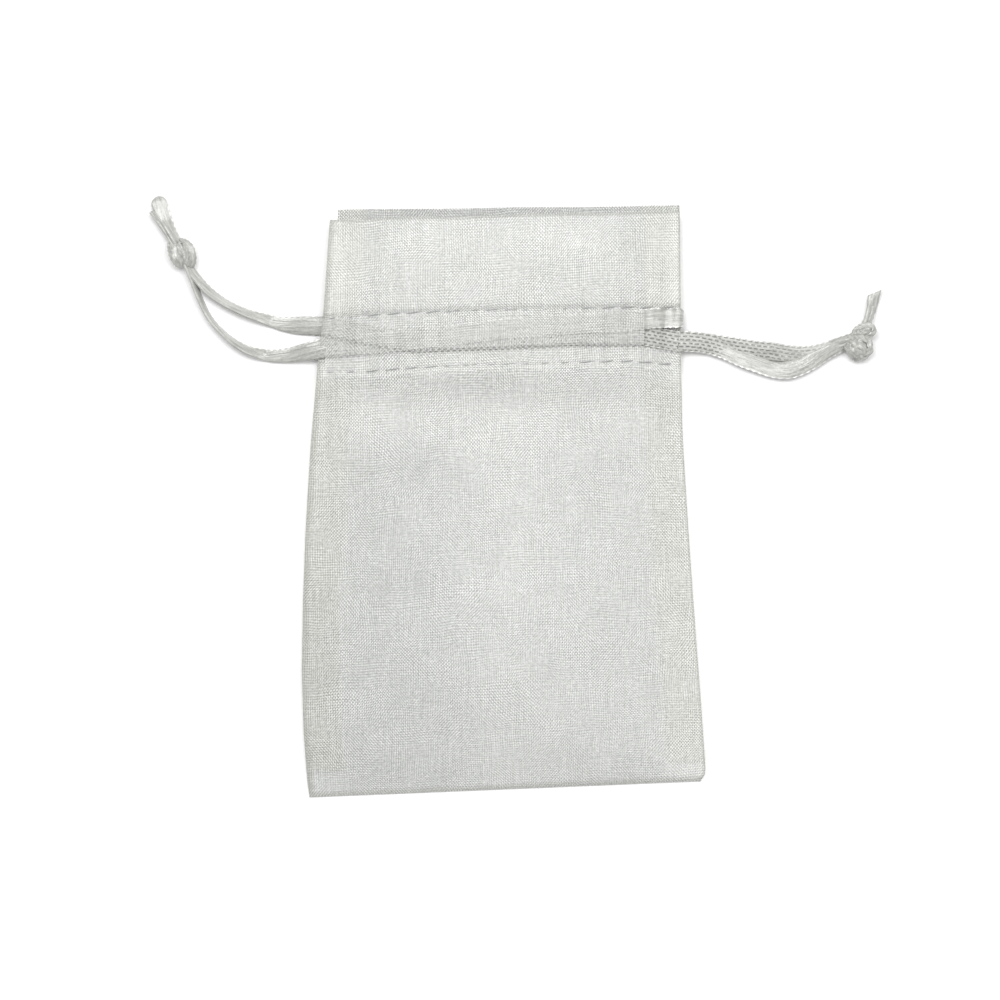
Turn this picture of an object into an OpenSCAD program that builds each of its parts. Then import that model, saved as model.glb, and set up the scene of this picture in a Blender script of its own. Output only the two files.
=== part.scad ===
// Drawstring gift pouch of sheer cloth, lying on its back with its mouth towards +Y.
// Millimetres. The origin is the middle of the pouch's footprint, on the surface it lies on.

/* [Pouch] */
// Height of the inside at the middle of the mouth
inside_height = 5.4; // [4.8:0.1:7]
// Thickness of one ply of cloth
ply = 0.15; // [0.1:0.01:0.18]
// Width of the seam allowance turned in along each side
allowance = 5.8; // [3:0.1:7]
// Distance from the bottom fold over which the front wall rises to its full height
rise_length = 30; // [20:1:45]

/* [Mouth and casing] */
// Middle of the lower row of stitches, towards the mouth from the origin
lower_row = 21.6; // [20:0.1:22]
// Middle of the upper row of stitches, towards the mouth from the origin
upper_row = 30.4; // [30.2:0.1:31]
// Middle of the front flap's top fold
front_top = 45.6; // [42:0.1:45.8]
// Middle of the back flap's top fold
back_top = 46.9; // [43:0.1:47]
// Bare ribbon between the front casing's cut-back end and the right edge of the pouch
right_setback = 5.9; // [2:0.1:8]
// Bare ribbon between the front casing and the left edge of the pouch
left_setback = 0.9; // [0.5:0.1:3]

/* [Ribbon] */
// Width of the ribbon
ribbon_width = 3.2; // [2.6:0.1:3.4]
// Thickness of the ribbon
ribbon_thickness = 0.25; // [0.15:0.01:0.26]

/* [Stitching] */
// Length of one stitch
stitch_length = 2.5; // [1.5:0.1:2.8]
// Distance from one stitch to the next
stitch_pitch = 3.1; // [2.9:0.1:4]
// Diameter of the sewing thread
thread = 0.2; // [0.12:0.01:0.25]

/* [Hidden] */

air = 0.1;             // gap kept between layers that only touch
// How much each line across the pouch rises per millimetre to the right
slant = 0.027;         // the two rows of stitches
bottom_slant = 0.041;  // the bottom fold
front_slant = 0.023;   // the front flap's top fold
back_slant = 0.012;    // the back flap's top fold
bottom_middle = -45.92;  // the bottom fold's middle
flat_share = 0.96;     // share of the half width where the front wall stands off the back
columns = 24;          // cells across a front ply

// The pouch's two sides, as [y, x]: it is widest near the bottom and narrowest at the mouth.
left_side = [[-47.2, -31.1], [-37, -32], [-27, -32.3], [-16, -32.1], [-5, -31.7],
             [10, -30.8], [22, -29.7], [30, -28.8], [46, -27.7]];
right_side = [[-45, 32.3], [-32, 31.5], [-16, 30.3], [-6, 29.6], [2, 29.1],
              [10, 28.6], [22, 28.3], [47, 28.1]];

// Height of each layer's underside where the casing is pressed flat, from the back ply up.
back_lower_ribbon = ply + air;
back_upper_ribbon = back_lower_ribbon + ribbon_thickness + air;
back_facing = back_upper_ribbon + ribbon_thickness + air;
front_facing = back_facing + ply + air;
front_lower_ribbon = front_facing + ply + air;
front_upper_ribbon = front_lower_ribbon + ribbon_thickness + air;
front_ply = front_upper_ribbon + ribbon_thickness + air;
fold_ply = ply + air;              // the front ply's underside at the bottom fold
wall_ply = 3 * ply + 3 * air;      // and along the sides, over the seam allowance and its thread

// Runs inside the casing: each ribbon's middle as [x, y], from the left mouth to the right one
left_mouth_x = -28.2;
right_mouth_x = 27.9;
left_front_line = [[left_mouth_x, 24.6], [-8, 26.5], [0, 27.6], [22, 29.2], [right_mouth_x, 29.2]];
left_back_line = [[left_mouth_x, 28.1], [right_mouth_x, 29.2]];
right_front_line = [[left_mouth_x, 28], [-22, 26.6], [-14, 25.4], [0, 25.9], [10, 26.4],
                    [22, 26.5], [right_mouth_x, 25.5]];
right_back_line = [[left_mouth_x, 28], [right_mouth_x, 25.7]];

// Free ends: [x, y, height of the middle, width], from the casing through the knot to the tip.
// The ribbon cups lengthwise on its way into the knot, which narrows it.
left_front_route = [[-31, 24.6, 1.5, 3.2], [-33, 24, 1, 3], [-35, 23.4, 0.6, 2.6],
    [-37, 23.2, 0.5, 2.3], [-39, 23.4, 0.5, 2], [-41, 24.1, 0.5, 1.8], [-43, 25.2, 0.5, 1.7],
    [-45, 26.9, 0.6, 1.6], [-46.8, 29, 0.7, 1.5], [-48, 31.2, 0.8, 1.3],
    [-49, 33.6, 1, 1.2], [-50, 36.2, 1.3, 1.2], [-51.2, 39.2, 1.5, 1.4],
    [-52.8, 41.6, 1, 1.5], [-54.2, 43.4, 0.6, 1.8], [-55.6, 45, 0.3, 2], [-56.8, 46.6, 0.2, 2.2]];
left_back_route = [[-31, 28.1, 0.35, 3.2], [-33, 28.2, 0.3, 2.9], [-35, 28.5, 0.3, 2.4],
    [-37, 28.8, 0.4, 2], [-39, 29.4, 0.5, 1.7], [-41, 30.1, 0.5, 1.6], [-43, 31, 0.5, 1.6],
    [-45, 32, 0.6, 1.7], [-46.8, 33.2, 0.8, 1.9], [-48.6, 35, 1.1, 2], [-50, 37.2, 1.4, 2],
    [-51.4, 39.8, 1.9, 1.6], [-52.4, 42, 1.7, 1.9], [-53.2, 44, 1.3, 2.4],
    [-54.2, 46, 0.9, 2.8], [-55.6, 48.4, 0.6, 3]];
right_front_route = [[30.5, 25.5, 1.3, 3.2], [33, 25, 0.9, 3.2], [35.5, 24.4, 0.6, 3.2],
    [38, 23.4, 0.5, 3], [40.4, 22.3, 0.4, 2.4], [42.8, 21.4, 0.4, 2], [45.2, 21.1, 0.4, 1.9],
    [47.4, 21.8, 0.5, 1.8], [49.4, 22.9, 0.6, 1.7], [51.6, 23.8, 0.8, 1.8],
    [53.8, 24.6, 1.1, 1.8], [56, 25.2, 1.5, 1.6], [57.6, 26.6, 1.8, 1.5],
    [58.2, 28.6, 1.4, 1.6], [58.7, 30.8, 0.9, 2], [59.2, 33.2, 0.6, 2.3]];
right_back_route = [[30.5, 25.7, 0.6, 3.2], [33, 25.7, 0.35, 3.2], [35.5, 25.6, 0.3, 3],
    [38, 25.3, 0.3, 2.6], [40.4, 24.9, 0.3, 2.4], [42.8, 24.5, 0.4, 2.2], [45.2, 24.3, 0.5, 2],
    [47.6, 24.2, 0.6, 2], [50, 24.4, 0.8, 2], [52.2, 24.8, 1, 1.8], [54.4, 25.5, 1.2, 1.7],
    [56.4, 26.3, 1.3, 1.5], [57.8, 27.8, 1, 1.5], [58.5, 29.6, 0.5, 1.7], [59, 31.6, 0.2, 2]];
left_knot_at = [-51.2, 39.5, 1.5];
right_knot_at = [57, 25.9, 1.6];

function left_x(y) = lookup(y, left_side);
function right_x(y) = lookup(y, right_side);
function row_y(middle, x) = middle + slant * x;
function bottom_y(x) = bottom_middle + bottom_slant * x;

// How far out a point lies, from 0 at the middle of the pouch to 1 at its side.
function share_out(x, y) =
    abs(2 * x - right_x(y) - left_x(y)) / (right_x(y) - left_x(y));

// Cross-section of the front wall's crown: flat along the sides, round over the middle.
function crown(share) = share < flat_share ? pow(1 - pow(share / flat_share, 2.5), 1.3) : 0;

// The crown's share of its full height, from the bottom fold up.
function rise(y) =
    let (s = min(1, max(0, (y - bottom_middle) / rise_length)))
    s * (2 - s);

function loft(x, y) = inside_height * rise(y) * crown(share_out(x, y));

// Underside of the front ply below the casing, without its crown.
function wall_base(y) =
    lookup(y, [[bottom_middle + 1, fold_ply], [bottom_middle + 6, wall_ply],
               [lower_row - 7, wall_ply], [lower_row - 1, front_ply]]);

// A sheet between two rows of points, each row given left to right. Its top is thick above.
module sheet(rows, thick) {
    per_row = len(rows[0]);
    count = len(rows) * per_row;
    under = [for (row = rows) for (p = row) p];
    over = [for (p = under) p + [0, 0, thick]];
    last = len(rows) - 1;
    edge = [for (i = [0:per_row - 1]) i,
            for (j = [1:last]) j * per_row + per_row - 1,
            for (i = [per_row - 2:-1:0]) last * per_row + i,
            for (j = [last - 1:-1:1]) j * per_row];
    cells = [for (j = [0:last - 1]) for (i = [0:per_row - 2]) j * per_row + i];
    faces = concat(
        [for (c = cells) each [[c, c + 1, c + per_row + 1], [c, c + per_row + 1, c + per_row]]],
        [for (c = cells) each [[count + c, count + c + per_row + 1, count + c + 1],
                               [count + c, count + c + per_row, count + c + per_row + 1]]],
        [for (k = [0:len(edge) - 1])
            let (a = edge[k], b = edge[(k + 1) % len(edge)])
            each [[a, count + a, count + b], [a, count + b, b]]]);
    polyhedron(concat(under, over), faces);
}

// Points across the pouch on one row, from a share of the width to another.
function across(y_at, z_at, from = 0, to = 1) =
    [for (i = [0:columns])
        let (s = from + (to - from) * i / columns,
             y0 = y_at(0),
             x = left_x(y0) + s * (right_x(y0) - left_x(y0)),
             y = y_at(x))
        [x, y, z_at(x, y)]];

// A flat ply on the back, between two slanted lines, cut back from the left side.
module back_ply(y_low, low_slant, y_high, high_slant, z, thick, cut_back = 0) {
    steps = 12;
    function edge_y(s, x) = (1 - s) * (y_low + low_slant * x) + s * (y_high + high_slant * x);
    function left_point(s) =
        let (y = edge_y(s, left_x(edge_y(s, -30)))) [left_x(y) + cut_back, y];
    function right_point(s) = let (y = edge_y(s, right_x(edge_y(s, 30)))) [right_x(y), y];
    translate([0, 0, z])
        linear_extrude(thick)
            polygon(concat([for (i = [0:steps]) right_point(i / steps)],
                           [for (i = [steps:-1:0]) left_point(i / steps)]));
}

module back_panel() {
    color("gainsboro") back_ply(bottom_middle, bottom_slant, lower_row, slant, 0, ply);
}

module front_panel() {
    length_steps = 16;
    rows = [for (j = [0:length_steps])
        let (s = j / length_steps)
        across(function(x) (1 - s) * bottom_y(x) + s * row_y(lower_row, x),
               function(x, y) wall_base(y) + loft(x, y))];
    color("whitesmoke") sheet(rows, ply);
}

// The cloth turns from the back panel into the front panel here.
module bottom_fold() {
    fold_radius = ply + air / 2;
    left_end = [-31.1, bottom_y(-31.1)];
    right_end = [32.2, bottom_y(32.2)];
    span = right_end - left_end;
    color("gainsboro")
        translate([left_end[0], left_end[1], fold_radius])
            rotate([0, 0, atan2(span[1], span[0])])
                rotate([90, 0, 90])
                    linear_extrude(norm(span))
                        intersection() {
                            difference() {
                                circle(r = fold_radius, $fn = 24);
                                circle(r = air / 2, $fn = 24);
                            }
                            translate([-2 * fold_radius, -fold_radius])
                                square([2 * fold_radius, 2 * fold_radius]);
                        }
}

module back_casing() {
    color("gainsboro") back_ply(lower_row, slant, upper_row, slant, 0, ply);
}

module back_casing_facing() {
    color("whitesmoke")
        back_ply(lower_row, slant, upper_row, slant, back_facing, ply, left_setback);
}

// A front ply of the casing, from a share of the width to another.
module front_casing_ply(z, from, to) {
    rows = [for (s = [0, 0.5, 1])
        across(function(x) row_y(lower_row + s * (upper_row - lower_row), x),
               function(x, y) z + loft(x, y), from, to)];
    sheet(rows, ply);
}

casing_y = (lower_row + upper_row) / 2;
casing_width = right_x(casing_y) - left_x(casing_y);

module front_casing() {
    color("whitesmoke")
        front_casing_ply(front_ply, left_setback / casing_width, 1 - right_setback / casing_width);
}

module front_casing_facing() {
    color("gainsboro") front_casing_ply(front_facing, left_setback / casing_width, 1);
}

// Each flap above the casing is the cloth turned down on itself: two plies and a fold.
module back_header() {
    color("gainsboro") back_ply(upper_row, slant, back_top, back_slant, 0, 2 * ply);
}

module front_header() {
    rows = [for (s = [0:0.25:1])
        across(function(x) (1 - s) * row_y(upper_row, x) + s * (front_top + front_slant * x),
               function(x, y) front_ply - ply + loft(x, y))];
    color("whitesmoke") sheet(rows, 2 * ply);
}

// Two plies of the cloth's edge, turned in along a side below the casing.
module seam_allowance(side) {
    steps = 10;
    low = bottom_middle + 5;
    high = lower_row - 2;
    outer = [for (i = [0:steps])
        let (y = low + (high - low) * i / steps)
        [side < 0 ? left_x(y) + air : right_x(y) - air, y]];
    inner = [for (i = [steps:-1:0]) outer[i] - [side * allowance, 0]];
    translate([0, 0, ply + air / 2])
        linear_extrude(2 * ply)
            polygon(concat(outer, inner));
}

module left_seam_allowance() { color("ivory") seam_allowance(-1); }
module right_seam_allowance() { color("ivory") seam_allowance(1); }

// One stitch from a to b.
module stitch(a, b) {
    along = b - a;
    translate(a)
        rotate([0, acos(along[2] / norm(along)), atan2(along[1], along[0])])
            cylinder(h = norm(along), d = thread, $fn = 16);
}

// A row of stitches across the pouch, lying on the surface that z_at gives.
module stitch_row(middle, inset, z_at) {
    left_end = left_x(middle) + 0.6;
    count = floor((right_x(middle) - left_x(middle) - 1) / stitch_pitch);
    for (i = [0:count - 1]) {
        x0 = left_end + i * stitch_pitch;
        x1 = x0 + stitch_length;
        y0 = row_y(middle, x0) + inset;
        y1 = row_y(middle, x1) + inset;
        stitch([x0, y0, z_at(x0, y0)], [x1, y1, z_at(x1, y1)]);
    }
}

row_inset = 0.5;                       // a row of stitches keeps this far from the ply's end
lift = thread / 2 + air / 2;           // thread's middle above the ply it lies on
function on_front(x, y) = front_ply + ply + lift + loft(x, y);
function on_back_facing(x, y) = back_facing + ply + lift;

module front_upper_stitches() {
    color("silver") stitch_row(upper_row, row_inset, function(x, y) on_front(x, y));
}
module front_lower_stitches() {
    color("silver") stitch_row(lower_row, -row_inset, function(x, y) on_front(x, y));
}
module back_upper_stitches() {
    color("silver") stitch_row(upper_row, -row_inset, function(x, y) on_back_facing(x, y));
}
module back_lower_stitches() {
    color("silver") stitch_row(lower_row, row_inset, function(x, y) on_back_facing(x, y));
}

// The side seam's thread, between the seam allowance and the front panel.
module seam_stitches(side) {
    low = bottom_middle + 6;
    high = lower_row - 8;
    count = floor((high - low) / stitch_pitch);
    z = ply + air / 2 + 2 * ply + thread / 2 + air / 4;
    for (i = [0:count - 1]) {
        y0 = low + i * stitch_pitch;
        y1 = y0 + stitch_length;
        x0 = (side < 0 ? left_x(y0) : right_x(y0)) - side * 1.6;
        x1 = (side < 0 ? left_x(y1) : right_x(y1)) - side * 1.6;
        stitch([x0, y0, z], [x1, y1, z]);
    }
}

module left_seam_stitches() { color("silver") seam_stitches(-1); }
module right_seam_stitches() { color("silver") seam_stitches(1); }

// A flat ribbon through points [x, y, z of its middle, width], each section turned to face
// along the route, or along X where square is true.
module ribbon(route, square = false) {
    last = len(route) - 1;
    half = ribbon_thickness / 2;
    bevel = ribbon_thickness / 2;
    shoulder = 0.8 * half;
    function heading(i) =
        let (a = route[max(i - 1, 0)], b = route[min(i + 1, last)]) atan2(b[1] - a[1], b[0] - a[0]);
    function section(w) = [[-w, 0], [bevel - w, shoulder], [0, half], [w - bevel, shoulder],
                           [w, 0], [w - bevel, -shoulder], [0, -half], [bevel - w, -shoulder]];
    sides = 8;
    points = [for (i = [0:last])
        let (turn = square ? 0 : heading(i), p = route[i])
        for (q = section(p[3] / 2))
            [p[0] - q[0] * sin(turn), p[1] + q[0] * cos(turn), p[2] + q[1]]];
    faces = concat(
        [[for (k = [0:sides - 1]) k]],
        [for (i = [0:last - 1]) for (k = [0:sides - 1])
            let (m = (k + 1) % sides, a = i * sides, b = a + sides)
            each [[a + k, b + k, b + m], [a + k, b + m, a + m]]],
        [[for (k = [sides - 1:-1:0]) last * sides + k]]);
    polyhedron(points, faces);
}

// A run inside the casing, from the left mouth to the right one.
module run(line, z_at) {
    steps = 24;
    route = [for (i = [0:steps])
        let (x = left_mouth_x + (right_mouth_x - left_mouth_x) * i / steps, y = lookup(x, line))
        [x, y, z_at(x, y) + ribbon_thickness / 2, ribbon_width]];
    color("lightgray") ribbon(route, square = true);
}

module left_ribbon_front_run() {
    run(left_front_line, function(x, y) front_upper_ribbon + loft(x, y));
}
module left_ribbon_back_run() {
    run(left_back_line, function(x, y) back_lower_ribbon);
}
module right_ribbon_front_run() {
    run(right_front_line, function(x, y) front_lower_ribbon + loft(x, y));
}
module right_ribbon_back_run() {
    run(right_back_line, function(x, y) back_upper_ribbon);
}

// The ribbon's turn round a side of the pouch, from its back run to its front run.
module ribbon_turn(x, y, z_back, z_front, side) {
    middle = (z_front - z_back) / 2;
    translate([x, y + ribbon_width / 2, z_back + middle + ribbon_thickness / 2])
        rotate([90, 0, 0])
            linear_extrude(ribbon_width)
                intersection() {
                    difference() {
                        circle(r = middle + ribbon_thickness / 2, $fn = 32);
                        circle(r = middle - ribbon_thickness / 2, $fn = 32);
                    }
                    translate([side > 0 ? 0 : -3, -3]) square([3, 6]);
                }
}

module left_ribbon_turn() {
    color("lightgray")
        ribbon_turn(right_mouth_x, lookup(right_mouth_x, left_front_line),
                    back_lower_ribbon, front_upper_ribbon, 1);
}
module right_ribbon_turn() {
    color("lightgray")
        ribbon_turn(left_mouth_x, lookup(left_mouth_x, right_front_line),
                    back_upper_ribbon, front_lower_ribbon, -1);
}

// A free end: it starts on the face of its run at mouth, and follows its route.
module free_end(mouth, z, route) {
    start = [mouth[0], mouth[1], z + ribbon_thickness / 2, ribbon_width];
    color("lightgray") ribbon(concat([start], route));
}

module left_ribbon_front_end() {
    mouth = left_front_line[0];
    free_end(mouth, front_upper_ribbon + loft(mouth[0], mouth[1]), left_front_route);
}
module left_ribbon_back_end() {
    free_end(left_back_line[0], back_lower_ribbon, left_back_route);
}
module right_ribbon_front_end() {
    mouth = right_front_line[len(right_front_line) - 1];
    free_end(mouth, front_lower_ribbon + loft(mouth[0], mouth[1]), right_front_route);
}
module right_ribbon_back_end() {
    free_end(right_back_line[1], back_upper_ribbon, right_back_route);
}

// An overhand knot drawn tight, as one rounded lump.
module knot(at, tilt, long, radius) {
    translate(at)
        rotate([0, 0, tilt])
            hull() {
                translate([-long / 2, 0, 0]) sphere(r = radius * 0.85, $fn = 24);
                sphere(r = radius, $fn = 24);
                translate([long / 2, 0, 0]) sphere(r = radius * 0.85, $fn = 24);
            }
}

module left_knot() { color("white") knot(left_knot_at, 120, 1.8, 1.45); }
module right_knot() { color("white") knot(right_knot_at, 60, 2.8, 1.55); }

back_panel();
front_panel();
bottom_fold();
back_casing();
front_casing();
back_casing_facing();
front_casing_facing();
back_header();
front_header();
left_seam_allowance();
right_seam_allowance();
front_upper_stitches();
front_lower_stitches();
back_upper_stitches();
back_lower_stitches();
left_seam_stitches();
right_seam_stitches();
left_ribbon_front_run();
left_ribbon_back_run();
left_ribbon_turn();
right_ribbon_front_run();
right_ribbon_back_run();
right_ribbon_turn();
left_ribbon_front_end();
left_ribbon_back_end();
left_knot();
right_ribbon_front_end();
right_ribbon_back_end();
right_knot();
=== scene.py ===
import math

import bpy
import numpy as np
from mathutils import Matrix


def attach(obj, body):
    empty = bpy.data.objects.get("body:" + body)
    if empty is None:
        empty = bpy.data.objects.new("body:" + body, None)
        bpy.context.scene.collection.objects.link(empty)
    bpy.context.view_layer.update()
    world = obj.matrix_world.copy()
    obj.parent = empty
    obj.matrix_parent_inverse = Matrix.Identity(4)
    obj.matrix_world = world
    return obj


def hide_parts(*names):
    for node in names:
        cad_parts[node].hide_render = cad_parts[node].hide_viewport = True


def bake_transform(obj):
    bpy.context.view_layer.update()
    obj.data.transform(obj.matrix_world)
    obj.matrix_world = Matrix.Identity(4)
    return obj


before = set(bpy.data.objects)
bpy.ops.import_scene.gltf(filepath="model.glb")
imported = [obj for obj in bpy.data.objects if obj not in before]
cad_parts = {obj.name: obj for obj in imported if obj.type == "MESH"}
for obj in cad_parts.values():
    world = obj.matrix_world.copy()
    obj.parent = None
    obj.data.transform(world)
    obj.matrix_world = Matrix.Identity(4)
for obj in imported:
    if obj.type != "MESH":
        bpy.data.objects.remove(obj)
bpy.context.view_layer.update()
MM = 0.001

# ---- camera
# Straight down from far enough away that the pouch's height hardly changes its outline.
VIEW_WIDTH = 0.160
lens = bpy.data.cameras.new("camera")
lens.lens = 200
lens.sensor_width = 36
camera = bpy.data.objects.new("camera", lens)
camera.location = (-0.0006, 0.0002, VIEW_WIDTH * lens.lens / lens.sensor_width)
bpy.context.scene.collection.objects.link(camera)
bpy.context.scene.camera = camera

# ---- the pouch's outline, in mm
LEFT_SIDE = [(-47.5, -31.0), (-47.0, -31.1), (-45.0, -31.4), (-37, -32), (-27, -32.3), (-16, -32.1),
             (-5, -31.7), (2, -31.3), (10, -30.8), (22, -29.7), (30, -28.8), (46, -27.7)]
RIGHT_SIDE = [(-46, 31.0), (-44.6, 31.5), (-43.4, 32.3), (-32, 31.5), (-16, 30.3), (-6, 29.6), (2, 29.1),
              (10, 28.6), (22, 28.3), (47, 28.1)]
BOTTOM = -45.92
LOWER_ROW = [(-29.5, 20.6), (-21.4, 20.7), (-15.7, 21.1), (-9, 21.5), (-1.4, 21.7), (5, 21.9), (14, 22.2),
             (20.6, 22.3), (28.3, 21.7)]
UPPER_ROW = [(-29.5, 29.2), (-16, 29.9), (-8, 30.2), (-1.4, 30.4), (9.4, 30.6), (19.5, 30.9), (28.1, 30.95)]
LEFT_MOUTH, RIGHT_MOUTH = -28.2, 27.9
# The lines that the two drawstrings follow inside the casing, along the front and along the back.
LEFT_FRONT_LINE = [(-28.2, 24.6), (-18, 25.4), (-8, 26.4), (0, 27.4), (12, 28.3), (20, 28.7), (24, 29.2),
                   (27.9, 29.3)]
LEFT_BACK_LINE = [(-28.2, 28.1), (27.9, 29.2)]
RIGHT_FRONT_LINE = [(-28.2, 28), (-22, 26.6), (-14, 25.4), (0, 25.9), (10, 26.4), (22, 26.5), (27.9, 25.5)]
RIGHT_BACK_LINE = [(-28.2, 28), (27.9, 25.7)]
INSIDE_HEIGHT = 5.4
CLOTH = 0.09
ALLOWANCE_CLOTH = 0.08
# Heights of the middle of each ply where nothing lifts or pinches it.
BACK_Z = 0.06
BACK_FACING_Z = 1.02
FRONT_FACING_Z = 1.27
BODY_Z = 0.825
CASING_Z = 2.24
TOP_FOLD_RADIUS = 0.075
FRONT_FOLD_DROP = 0.08
BOTTOM_FOLD_RADIUS = 0.12
HEM_BELOW_ROW = 0.9
ALLOWANCE_WIDTH = 5.8
RIBBON = 3.2
RIBBON_THICK = 0.14
RIBBON_POINTS = 17  # across it, on each side
RIBBON_LOOP_PITCH = 1.0  # along its edges
STITCH_PITCH = 3.1
STITCH_LENGTH = 2.5
SEAM_STITCH_LENGTH = 2.4
SEAM_INSET = 0.75
THREAD_RADIUS = 0.09


def table(points, value):
    """Reads a table of points, in straight lines between them."""
    xs, ys = zip(*points)
    return np.interp(value, xs, ys)


def smooth(t):
    """Eases from 0 to 1 as t does."""
    t = np.clip(t, 0, 1)
    return t * t * (3 - 2 * t)


def smooth_table(points, value):
    """Like table, but each stretch eases in and out."""
    value = np.asarray(value, float)
    out = np.full(value.shape, float(points[0][1]))
    for (a, va), (b, vb) in zip(points, points[1:]):
        out = out + (vb - va) * smooth((value - a) / (b - a))
    return out


def left_x(y):
    return table(LEFT_SIDE, y)


def right_x(y):
    return table(RIGHT_SIDE, y)


def bottom_line(x):
    return BOTTOM + 0.041 * x


def lower_line(x):
    return table(LOWER_ROW, x)


def upper_line(x):
    return table(UPPER_ROW, x)


def front_top_line(x):
    return 45.25 + 0.023 * x + 0.3 * (x / 28) ** 2 + 0.06 * np.sin(x * 0.31)


def back_top_line(x):
    return 46.9 + 0.012 * x + 0.05 * np.sin(x * 0.27 + 1)


def side_share(x, y):
    """-1 at the left side, 0 in the middle, 1 at the right side."""
    return (2 * x - right_x(y) - left_x(y)) / (right_x(y) - left_x(y))


def ripple(x, y):
    """Small upright pleats that start at the stitches and die away down the body."""
    wander = 0.9 * np.sin(0.21 * x + 1.3) + 0.5 * np.sin(0.53 * x + 0.07 * y)
    body = smooth_table([(-46, 0), (-20, 0.01), (4, 0.03), (20, 0.11)], y)
    header = smooth_table([(31, 0), (46, 0.05)], y)
    size = (body - header) * smooth((1 - np.abs(side_share(x, y))) / 0.06)
    return size * (np.sin(1.85 * x + wander) + 0.35 * np.sin(4.3 * x + 2 * wander))


def waves(x, y):
    """Broad, soft unevenness of the front, with the small creases by the right side."""
    soft = 0.16 * np.sin(0.19 * x + 0.05 * y + 0.4) * np.sin(0.11 * y + 0.6)
    soft = soft + 0.07 * np.sin(0.34 * y + 0.12 * x)
    inner = smooth((1 - np.abs(side_share(x, y))) / 0.25)
    creases = 0
    for y0, x0, length, size in ((17.2, 27.5, 5.5, 0.16), (15.1, 26.6, 6.5, 0.2), (-7.2, 28.4, 6, 0.16),
                                 (-10.4, 28.8, 5, 0.15), (-12.8, 28.6, 6.5, 0.13), (11.2, -27.6, 4, 0.09),
                                 (-31.5, 30.2, 4, 0.1)):
        across = (y - y0 - 0.12 * (x - x0)) / 0.65
        creases = creases + size * np.exp(-across**2 - ((x - x0) / length) ** 2)
    return soft * inner + creases


def loft(x, y):
    """How far the front wall stands off where the pouch is softly open."""
    share = np.abs(side_share(x, y))
    crown = np.where(share < 0.96, np.clip(1 - (share / 0.96) ** 2.5, 0, 1) ** 1.3, 0)
    rise = np.clip((y - BOTTOM) / 30, 0, 1)
    return INSIDE_HEIGHT * rise * (2 - rise) * crown


def pinch(x, y, width=0.42):
    """1 along the two rows of stitches, 0 away from them."""
    lower, upper = (np.exp(-((y - line(x)) / width) ** 2) for line in (lower_line, upper_line))
    return (lower + upper).clip(0, 1)


def between_stitches(x):
    """The cloth dips most in the middle of each stitch."""
    return 0.8 + 0.2 * np.cos(2 * math.pi * (x + 28) / STITCH_PITCH)


def over_ribbon(x, y):
    """1 where a ribbon lies under the front casing, 0 beside it."""
    out = 0
    for line in (LEFT_FRONT_LINE, RIGHT_FRONT_LINE):
        out = np.maximum(out, smooth((1.85 - np.abs(y - table(line, x))) / 0.45))
    return out


def over_selvedge(x, y):
    """1 where the cloth of the front casing is pressed on the ribbons' lower edges."""
    out = 0
    for line, strength in ((LEFT_FRONT_LINE, 0.3), (RIGHT_FRONT_LINE, 1.0)):
        out = np.maximum(out, strength * np.exp(-((y - table(line, x) + 1.65) / 0.4) ** 2))
    return out


def front_z(x, y):
    """Middle of the front's outer ply."""
    base = smooth_table([(BOTTOM, 0.3), (BOTTOM + 7, BODY_Z), (14, BODY_Z), (20.5, CASING_Z), (31, CASING_Z),
                         (46, 2.05)], y)
    casing = smooth((y - lower_line(x)) / 0.8) * smooth((upper_line(x) - y) / 0.8)
    sag = -0.42 * casing * (1 - over_ribbon(x, y))
    return base + loft(x, y) + ripple(x, y) + waves(x, y) + sag - 0.6 * pinch(x, y) * between_stitches(x)


def above_casing(x, y):
    """1 in the header, 0 in the casing and below it."""
    return smooth((y - upper_line(x) - 0.2) / 1.2)


def front_facing_z(x, y):
    """Middle of the ply turned down inside the front. It lies close under the outer ply in the header."""
    above = above_casing(x, y)
    casing = FRONT_FACING_Z + loft(x, y) + ripple(x, y) + waves(x, y) + 0.14 * pinch(x, y)
    return (1 - above) * casing + above * (front_z(x, y) - 2 * FRONT_FOLD_DROP)


def back_z(x, y):
    """Middle of the back's outer ply, which lies on the table."""
    return BACK_Z + 0.28 * pinch(x, y) + 0.35 * np.abs(ripple(x, y))


def back_facing_z(x, y):
    """Middle of the ply turned down inside the back."""
    above = above_casing(x, y)
    casing = BACK_FACING_Z - 0.46 * pinch(x, y) + 0.35 * np.abs(ripple(x, y))
    return (1 - above) * casing + above * (back_z(x, y) + 0.15)


# ---- mesh helpers
def unit(vectors):
    return vectors / np.linalg.norm(vectors, axis=-1, keepdims=True)


def distances(points):
    """How far along a line each of its points lies."""
    return np.concatenate([[0], np.cumsum(np.linalg.norm(np.diff(points, axis=0), axis=1))])


def mesh_piece(name, nodes, material, points, faces, uv, numbers=None, sharp=None):
    """A smooth-shaded object from points in mm, which stands for some nodes of the CAD. numbers are
    attributes that the materials read."""
    mesh = bpy.data.meshes.new(name)
    mesh.from_pydata((np.asarray(points, float) * MM).tolist(), [], faces)
    mesh.polygons.foreach_set("use_smooth", [True] * len(mesh.polygons))
    layer = mesh.uv_layers.new(name="weave")
    corner = np.zeros(len(mesh.loops), int)
    mesh.loops.foreach_get("vertex_index", corner)
    layer.data.foreach_set("uv", np.asarray(uv, np.float32)[corner].ravel())
    for key, values in (numbers or {}).items():
        mesh.attributes.new(key, "FLOAT", "POINT").data.foreach_set("value", np.asarray(values, np.float32))
    mesh.materials.append(material)
    if sharp is not None:
        mesh.set_sharp_from_angle(angle=math.radians(sharp))
    obj = bpy.data.objects.new(name, mesh)
    bpy.context.scene.collection.objects.link(obj)
    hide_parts(*nodes)
    return obj


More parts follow.
